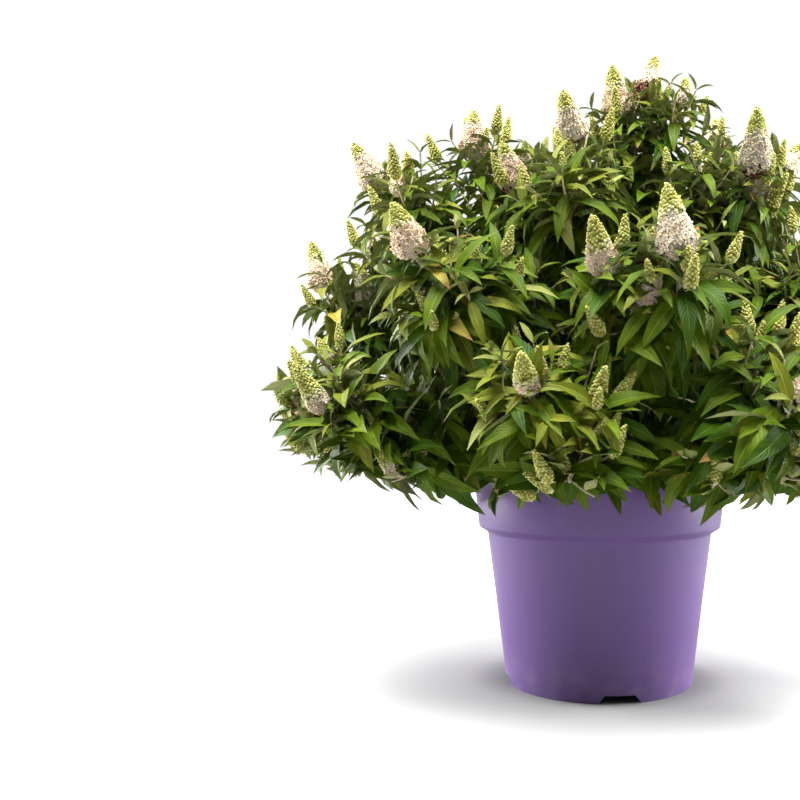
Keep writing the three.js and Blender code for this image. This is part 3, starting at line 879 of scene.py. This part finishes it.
def leaf_corners(blade, leaves):
    """Each leaf's midrib and corners. A leaf bends down along its length, folds up along its
    midrib, turns its margins down again and twists a little."""
    base, along, lift = leaves[:, 0:3], leaves[:, 3:6], leaves[:, 6:9]
    length, width, arch, twist = leaves[:, 9:10], leaves[:, 10:11], leaves[:, 11:12], leaves[:, 12:13]
    rows = np.unique(np.round(blade.corners[:, 1], 6))
    angle = arch * rows**1.2
    middle_angle = (angle[:, 1:] + angle[:, :-1]) / 2
    steps = (length * np.diff(rows))[..., None]
    forward = np.cos(middle_angle)[..., None] * along[:, None]
    sunk = np.sin(middle_angle)[..., None] * lift[:, None]
    rib = np.concatenate([0 * base[:, None], np.cumsum(steps * (forward - sunk), 1)], 1)
    rib += base[:, None]
    row = np.searchsorted(rows, np.round(blade.corners[:, 1], 6))
    here = rows[row]
    normal = (
        np.sin(angle)[..., None] * along[:, None] + np.cos(angle)[..., None] * lift[:, None]
    )[:, row]
    sideways = np.cross(along, lift)[:, None] + 0 * normal
    turn = (twist * here)[..., None]
    sideways, normal = (
        sideways * np.cos(turn) + normal * np.sin(turn),
        normal * np.cos(turn) - sideways * np.sin(turn),
    )
    outline = np.sin(math.pi * here**0.88) ** 0.88 * (1.08 - 0.22 * here**3)
    outline = np.where(here < 0.08, 0.12, outline)
    half = (length * width / 2 * outline)[..., None]
    x, z = blade.corners[:, 0:1], blade.corners[:, 2:3]
    wave = np.sin(here * 17 + leaves[:, 15:16] * 40)[..., None] * 0.1
    height = half * (0.6 * np.abs(x) - 0.3 * x**2 + wave * x**2)
    thin = np.where(z < 0, -0.35, 0)
    return rib, rib[:, row] + sideways * half * x + normal * (height + thin)


def rooms(leaves, rib):
    """Which leaves cross the pot, hang below the skirt or leave the crown's reach."""
    reach = np.array([mass["leaf_reach"] for mass in masses])[leaves[:, 13].astype(int)]
    out = np.hypot(rib[..., 0], rib[..., 1])
    far = np.linalg.norm(rib - np.array(crown_centre), axis=-1)
    in_pot = (rib[..., 2] < rim_clear_height) & (out < rim_clear_radius)
    skirt = lowest_leaf - 8 + 32 * (leaves[:, 15:16] * 13 % 1) ** 0.7
    skirt = skirt + skirt_rise * np.maximum(out - rim_clear_radius, 0)
    return in_pot.any(1), (rib[..., 2] < skirt).any(1), far[:, -1] > reach


def leaf_finish(name, dark, light, rib_colour):
    """A leaf's finish: patchy green, a paler midrib and the relief of its side veins."""
    finish = start_finish(name, Specular_IOR_Level=0.1)
    across = finish.node("ShaderNodeUVMap", {"uv_map": "blade"})
    from_rib = (across.axis("X") - 0.5).math("ABSOLUTE")
    side_veins = across.axis("Y") * 13 - from_rib * 5
    quilt = (side_veins * math.pi).math("SINE").math("ABSOLUTE")
    patches = finish.grain(45, 3).rise(0.3, 0.7)
    rib_mask = from_rib.rise(0.05, 0.015)
    blade_colour = patches.mix(paint(*dark), paint(*light))
    (0.6 * rib_mask).mix(blade_colour, paint(*rib_colour)).feed("Base Color")
    (0.34 + 0.2 * finish.grain(120)).feed("Roughness")
    (quilt.math("POWER", 0.6) * from_rib.rise(0.0, 0.06)).feed_relief(0.2)
    return finish


leaf_finishes = [
    leaf_finish("leaf_deep_green", (39, 65, 6), (62, 91, 9), (100, 124, 50)),
    leaf_finish("leaf_mid_green", (65, 89, 8), (93, 114, 17), (134, 148, 70)),
    leaf_finish("leaf_olive", (92, 103, 20), (121, 127, 38), (158, 156, 84)),
    leaf_finish("leaf_grey_green", (112, 122, 50), (144, 148, 76), (170, 172, 116)),
    leaf_finish("leaf_yellowing", (140, 132, 42), (166, 152, 64), (178, 168, 88)),
    leaf_finish("leaf_scorched_tip", (126, 88, 44), (160, 124, 70), (166, 138, 84)),
    leaf_finish("leaf_felted_under", (137, 144, 84), (163, 168, 110), (178, 180, 138)),
]
yellowing, scorched, under = 4, 5, 6
blades = {
    "broad": make_blade((0, 0.07, 0.17, 0.3, 0.45, 0.6, 0.75, 0.88, 1), 4),
    "narrow": make_blade((0, 0.12, 0.33, 0.58, 0.82, 1), 2),
}
mass_tiers = np.array([mass["tier"].replace("top", "upper") for mass in masses])
for kind, blade in blades.items():
    leaves = np.array(leaf_notes[kind])
    # A few leaves are strongly twisted. Those without room turn up or outward and get shorter.
    leaves[leaves[:, 15] < 0.04, 12] *= 4
    for _ in range(9):
        in_pot, too_low, too_far = rooms(leaves, leaf_corners(blade, leaves)[0])
        leaves[in_pot | too_far, 9] *= 0.9
        leaves[too_low, 9] *= 0.975
        leaves[in_pot | too_low | too_far, 11] *= 0.85
        leaves[in_pot | too_low, 5] += 0.18
        leaves[in_pot, 3:5] += leaves[in_pot, 0:2] / 400
        leaves[:, 3:6] = unit(leaves[:, 3:6])
        across_it = (leaves[:, 6:9] * leaves[:, 3:6]).sum(1, keepdims=True)
        leaves[:, 6:9] = unit(leaves[:, 6:9] - leaves[:, 3:6] * across_it)
    rib, corners = leaf_corners(blade, leaves)
    kept = ~np.any(rooms(leaves, rib), 0)
    leaves, corners = leaves[kept], corners[kept]
    odd = leaves[:, 15]
    colour = leaves[:, 14] + 0.36 * (odd * 7 % 1 - 0.5)
    tier_of_leaf = mass_tiers[leaves[:, 13].astype(int)]
    if kind == "broad":
        deep_share = np.where(tier_of_leaf == "middle", 0.56, 0.42)
        number = np.select([colour < deep_share, colour < 0.85, colour < 1.0], [0, 1, 2], 3)
    else:
        number = np.select([colour < 0.25, colour < 0.6, colour < 0.85], [0, 1, 2], 3)
    number = np.where(odd > 0.985, yellowing, number)
    tips = (blade.middles[:, 1] > (0.9 if kind == "broad" else 0.85))[None]
    numbers = np.where((odd > 0.965)[:, None] & tips, scorched, number[:, None])
    numbers = np.where(blade.middles[:, 2] < 0, under, numbers)
    flat = blade.corners[:, :2] * [0.5, 1] + [0.5, 0]
    for tier in ("upper", "middle", "lower"):
        here = tier_of_leaf == tier
        add_copies(
            f"{kind}_leaves_{tier}", leaf_finishes, blade, corners[here], numbers[here], flat,
            slot="foliage", crease=30,
        )

# ---- flower heads ----
# Dense upright cones of small florets that open from the base up: green club-shaped buds at the
# tip, white to blush four-lobed florets with orange throats below, and a few brown spent ones.

head_chance = np.random.default_rng(seed)
bud_step = 2.6
floret_step = 3.3
young_head_length = 22
bud_radius_share = 0.92
open_core_share = 0.84
bud_core_share = 0.72
bud_size = (1.62, 1.62, 1.4)
floret_size = (2.25, 2.25, 2.1)
spent_size = (1.2, 1.5, 1.9)


def head_radius_at(t, radius):
    """A head's outline: rounded at its base and drawn out to a blunt tip."""
    return radius * 1.2 * np.clip((t + 0.06) / 0.26, 0, 1) ** 0.5 * (1 - t) ** 0.7 + 0.5


def spiral(length, radius, low, high, step):
    """Evenly spread places on a head between two shares of its length: share and turn."""
    shares = np.linspace(low, high, 60)
    area = np.cumsum(head_radius_at(shares, radius) / (1 - 0.3 * shares)) * (shares[1] - shares[0])
    count = max(1, int(math.tau * area[-1] * length / step**2))
    spots = np.interp((np.arange(count) + 0.5) / count * area[-1], area, shares)
    return spots, np.radians(golden_angle) * np.arange(count) + length


def head_core(base, axis, length, radius, opened):
    """The stalk inside a head as a limb, a little thinner than the florets' feet."""
    handles = [Vector(base + axis * far) for far in (-2, length * 0.5, length * 0.98)]

    def core_radius(t):
        share = open_core_share if t < opened else bud_radius_share * bud_core_share
        return float(head_radius_at(t, radius * share))

    return handles, core_radius


# Each bud's or floret's row: its foot and way (numbers 0 to 5), its size, its head's chance number,
# how far it is past the open florets, and its own chance number.
elements = {"bud": [], "floret": [], "spent": []}
core_limbs = []
core_shares = []
for note in head_notes:
    base, axis = np.array(note[0:3]), np.array(note[3:6])
    length, radius, opened, spent, odd = note[6:]
    side = np.array(round_about(Vector(axis), 360 * odd))
    other = np.cross(axis, side)
    core_limbs.append(head_core(base, axis, length, radius, opened))
    core_shares.append((spent, opened))
    young = length < young_head_length
    for kind, low, high, step, far in [
        ("spent", 0.0, spent + 0.12 * (spent > 0), floret_step * 0.75, 0.96),
        ("floret", max(0, spent - 0.05), opened + 0.05 * (opened > 0), floret_step, 1.04),
        ("bud", max(0, opened - 0.1), 0.99, bud_step * (0.92 if young else 1), 1.0),
    ]:
        if high <= low:
            continue
        shares, turns = spiral(length, radius, low, high, step)
        if opened:
            as_bud = np.clip((shares - opened + 0.1) / 0.15, 0, 1)
            as_spent = np.clip((spent + 0.12 - shares) / 0.17, 0, 1) * (spent > 0)
            drawn = head_chance.random(len(shares))
            kept = {
                "spent": drawn < as_spent, "bud": drawn < as_bud,
                "floret": (drawn > as_bud) & (drawn > as_spent),
            }[kind]
            shares, turns = shares[kept], turns[kept]
        shares = np.clip(shares + head_chance.normal(0, 0.012, len(shares)), 0, 0.995)
        out = np.cos(turns)[:, None] * side + np.sin(turns)[:, None] * other
        rise = head_chance.uniform(0.15, 0.6, (len(shares), 1)) + 0.6 * shares[:, None] ** 2
        if kind != "bud":
            rise = head_chance.uniform(-0.25, 0.5, (len(shares), 1))
        ways = unit(out + axis * rise + head_chance.normal(0, 0.12, out.shape))
        scale = 1 - 0.32 * shares
        if kind == "bud":
            ranks = head_radius_at(shares, radius * bud_radius_share)
            scale = scale * np.where(shares < opened + 0.12, 1.1, 1.0) * (0.88 if young else 1)
        else:
            swell = 0.9 + (far - 0.9) * np.clip((opened - shares) / opened, 0, 1) ** 0.5
            swell *= head_chance.uniform(0.93, 1.05, len(shares))
            ranks = head_radius_at(shares, radius) * swell
            scale = head_chance.uniform(0.85, 1.12, len(shares))
            scale *= 0.7 + 0.3 * np.clip((opened - shares) / 0.15, 0, 1)
        spots = base + axis * (shares * length)[:, None] + out * ranks[:, None]
        fresh = (shares - opened) / max(0.05, 1 - opened) + 0.1 * (opened == 0)
        elements[kind].append(np.concatenate([
            spots, ways, scale[:, None], np.full((len(spots), 1), odd),
            fresh[:, None], head_chance.random((len(spots), 1)),
        ], 1))


def standing(shape, rows, size):
    """Copies of a shape whose z axis follows each row's direction."""
    ways = rows[:, 3:6]
    spin = unit(np.cross(ways, head_chance.normal(0, 1, ways.shape)))
    frames = np.stack([spin, np.cross(ways, spin), ways], 1)
    return rows[:, None, 0:3] + (shape.corners * rows[:, 6, None, None] * size) @ frames


def lobed_drop(segments, notched, cup, depth):
    """A closed drop: a round or lobed rim, its middle at height cup and its foot at -depth."""
    drop = bmesh.new()
    bmesh.ops.create_circle(drop, cap_ends=True, cap_tris=True, segments=segments, radius=1)
    rim = [edge for edge in drop.edges if edge.is_boundary]
    for corner in drop.verts:
        if corner.co.length < 0.1:
            corner.co.z = cup
        elif notched and round(math.atan2(corner.co.y, corner.co.x) / math.tau * segments) % 3 == 0:
            corner.co *= 0.5
            corner.co.z = -0.1
    foot = bmesh.ops.extrude_edge_only(drop, edges=rim)["geom"]
    foot = [corner for corner in foot if isinstance(corner, bmesh.types.BMVert)]
    bmesh.ops.pointmerge(drop, verts=foot, merge_co=(0, 0, -depth))
    bmesh.ops.recalc_face_normals(drop, faces=drop.faces)
    return drop


bud = Shape(lobed_drop(5, False, 0.8, 1.6))
floret = lobed_drop(12, True, -0.3, 2.0)
throat = bmesh.ops.create_cone(
    floret, cap_ends=False, segments=4, radius1=0.26, radius2=0.0, depth=0.3
)["verts"]
bmesh.ops.translate(floret, verts=throat, vec=(0, 0, -0.1))
floret = Shape(floret)


def petal_finishes(scale, relief, **colours):
    """Finishes of thin petals that light shines through, each between two colours."""
    finishes = []
    for name, (first, second) in colours.items():
        finish = start_finish(
            name, Roughness=0.8, Specular_IOR_Level=0.2, Subsurface_Weight=0.5,
            Subsurface_Radius=(2.4 * mm, 2.0 * mm, 1.4 * mm), Subsurface_Scale=1.0,
        )
        patches = finish.grain(scale).rise(0.3, 0.7)
        patches.mix(paint(*first), paint(*second)).feed("Base Color")
        finish.grain(2200).feed_relief(relief)
        finishes.append(finish)
    return finishes


bud_finishes = petal_finishes(
    260, 0.2,
    bud_green=((142, 144, 66), (174, 174, 92)),
    bud_lime=((172, 172, 90), (200, 197, 122)),
    bud_cream=((198, 194, 142), (218, 212, 172)),
)
floret_finishes = petal_finishes(
    300, 0.2,
    floret_white=((206, 192, 168), (222, 211, 190)),
    floret_blush=((210, 184, 158), (222, 201, 178)),
    floret_throat=((200, 118, 50), (220, 146, 70)),
)
spent_finishes = petal_finishes(
    300, 0.3,
    spent_brown=((112, 72, 56), (150, 106, 84)),
    spent_dark=((66, 38, 34), (98, 60, 50)),
)
core_finishes = petal_finishes(
    200, 0.2,
    head_stalk=((136, 146, 62), (166, 172, 86)),
    floret_tubes=((206, 190, 168), (226, 212, 196)),
    spent_tubes=((82, 52, 40), (112, 76, 58)),
)
core_steps = 7
core_shape, core_places = round_limbs(core_limbs, 6, core_steps)
core_spent, core_opened = np.array(core_shares).T[:, :, None]
core_here = core_shape.middles[None, :, 2] / core_steps + 0.5
core_numbers = np.select([core_here < core_spent, core_here < core_opened], [2, 1], 0)
add_copies(
    "flower_stalks", core_finishes, core_shape, core_places, core_numbers, slot="bark", crease=80,
)


def add_halves(name, shape, rows, size, numbers, finishes, crease):
    """All the copies of a shape as two pieces, each small enough."""
    half = len(rows) // 2
    for which, part in [("first", slice(0, half)), ("second", slice(half, None))]:
        places = standing(shape, rows[part], size)
        add_copies(f"{name}_{which}", finishes, shape, places, numbers[part], crease=crease)


buds = np.concatenate(elements["bud"])
bud_numbers = np.select([buds[:, 8] < 0.22 * buds[:, 9], buds[:, 9] < 0.55], [2, 1], 0)
add_halves("flower_buds", bud, buds, bud_size, bud_numbers[:, None], bud_finishes, 80)
florets = np.concatenate(elements["floret"])
is_throat = (floret.middles[:, 2] > -0.3) & (np.hypot(*floret.middles[:, :2].T) < 0.17)
tones = (florets[:, 7] + 0.25 * (florets[:, 9] - 0.5) > 0.5).astype(int)
floret_numbers = np.where(is_throat[None], 2, tones[:, None])
add_halves("open_florets", floret, florets, floret_size, floret_numbers, floret_finishes, 50)

spents = np.concatenate(elements["spent"])
spent_places = standing(bud, spents, spent_size)
is_dark = spents[:, 9, None] < 0.5
add_copies("spent_florets", spent_finishes, bud, spent_places, is_dark, crease=60)

# ---- studio ----
# A white floor under soft light: a wide softbox on each side, a little behind the plant, and
# a large one high up in front. Seen from the camera, the floor has a painted shadow round the
# pot's foot and a painted glow that grows away from the pot. The camera stands level with a
# place just above the pot's rim.

scene = bpy.context.scene
scene.view_settings.view_transform = "Standard"
floor = bmesh.new()
bmesh.ops.create_circle(floor, cap_ends=True, segments=96, radius=30000)
floor_mesh = mesh_from("floor", floor)
floor_finish = start_finish(
    "white_floor_painted_shade_and_glow", Roughness=0.9, Specular_IOR_Level=0.1, Emission_Strength=1
)
seen_directly = floor_finish.node("ShaderNodeLightPath")
# Painted contact shadow: seen from the camera, the floor is a darker grey in a ring round the pot's foot.
# The ring reaches further out at the pot's sides than in front.
foot_distance = floor_finish.stretched(1, 1.25, 1).length()
seen_colour_with_painted_shade = foot_distance.rise(0.082, 0.13).mix(paint(128, 128, 128), paint(170, 170, 170))
seen_directly.mix(paint(150, 150, 150), seen_colour_with_painted_shade).feed("Base Color")
# Painted glow: seen only from the camera, the floor glows. The glow is nil near the pot and rises outward,
# sooner to the right. The far floor shows white, and the shadow fades sooner on the right.
far_off = floor_finish.stretched(1.25, 1, 1).length()
far_off = far_off + 0.25 * floor_finish.axis("X").math("MAXIMUM", 0)
painted_floor_glow = far_off.rise(0.09, 0.5).mix((0, 0, 0, 1), (0.95, 0.95, 0.95, 1))
seen_directly.mix((0, 0, 0, 1), painted_floor_glow).feed("Emission Color")
floor_mesh.materials.append(floor_finish.material)
new_object("floor", floor_mesh)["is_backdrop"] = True

surroundings = bpy.data.worlds.new("studio")
surroundings.use_nodes = True
background = surroundings.node_tree.nodes["Background"].inputs
background["Color"].default_value = (1, 1, 1, 1)
around = surroundings.node_tree.nodes.new("ShaderNodeTexCoord").outputs["Generated"]
behind = Wire(surroundings, around).axis("Y")
# The light from around is dim in front and stronger behind, and the camera sees plain white.
glow = behind.node("ShaderNodeMapRange", {}, {0: behind, 1: -0.3, 2: 0.7, 3: 0.13, 4: 0.7})
seen = behind.node("ShaderNodeLightPath")
strength = seen.node("ShaderNodeMix", {}, {0: seen, 2: glow, 3: 1})
surroundings.node_tree.links.new(strength.socket, background["Strength"])
scene.world = surroundings


def softbox(name, place, size, power):
    """A rectangular soft light that faces the middle of the plant."""
    light = bpy.data.lights.new(name, "AREA")
    light.shape = "RECTANGLE"
    light.size, light.size_y = size
    light.energy = power
    lamp = new_object(name, light)
    lamp.location = place
    lamp.rotation_euler = (Vector((0, 0, 0.25)) - Vector(place)).to_track_quat("-Z", "Y").to_euler()


softbox("left_softbox", (-1.74, 0.47, 0.65), (1.2, 1.6), 108)
softbox("right_softbox", (1.74, 0.47, 0.65), (1.2, 1.6), 108)
softbox("overhead_softbox", (0.0, -0.85, 2.7), (1.7, 1.7), 212)

optics = bpy.data.cameras.new("camera")
optics.lens, optics.sensor_width = 39.4, 36
optics.shift_x, optics.shift_y = -0.1425, 0.057
optics.clip_start, optics.clip_end = 0.05, 100
scene.camera = new_object("camera", optics)
scene.camera.location = (0, -0.818, 0.2155)
scene.camera.rotation_euler = (math.radians(90), 0, math.radians(5.5))

low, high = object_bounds()
